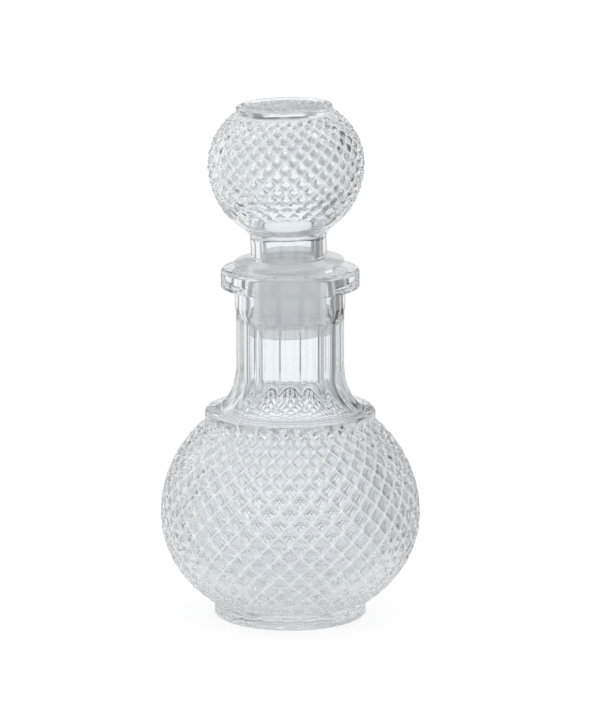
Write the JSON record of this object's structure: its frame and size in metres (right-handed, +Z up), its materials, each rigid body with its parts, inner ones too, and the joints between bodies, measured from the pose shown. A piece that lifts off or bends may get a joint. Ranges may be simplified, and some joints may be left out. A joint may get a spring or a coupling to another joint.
{
  "type": "carafe",
  "caption": "Small round glass carafe with diamond relief, a fluted neck and foot, and a hollow glass ball stopper seated on a soft plastic plug.",
  "frame": {"origin": "on the table plane, on the bottle's axis, under the middle of the foot", "axes": "+Z up along the bottle's axis; the pictured front faces -Y, with +X to its right"},
  "size_m": [0.0906, 0.0904, 0.1805],
  "materials": {
    "bottle_glass": "clear, fire-polished",
    "ball_glass": "clear, fire-polished",
    "plug_plastic": "milky translucent, soft satin"
  },
  "bodies": {
    "carafe": {"bottle": "bottle_glass"},
    "plug": {"stopper_collar": "plug_plastic"},
    "ball": {"stopper_ball": "ball_glass"}
  },
  "joints": [
    {"name": "stopper_lift", "type": "slide", "parent": "carafe", "child": "plug", "axis": [0, 0, 1], "range_m": [0, 0.08]},
    {"name": "stopper_turn", "type": "hinge", "parent": "plug", "child": "ball", "pos_m": [0, 0, 0.112], "axis": [-0.0297, 0, 0.9996], "continuous": true}
  ]
}
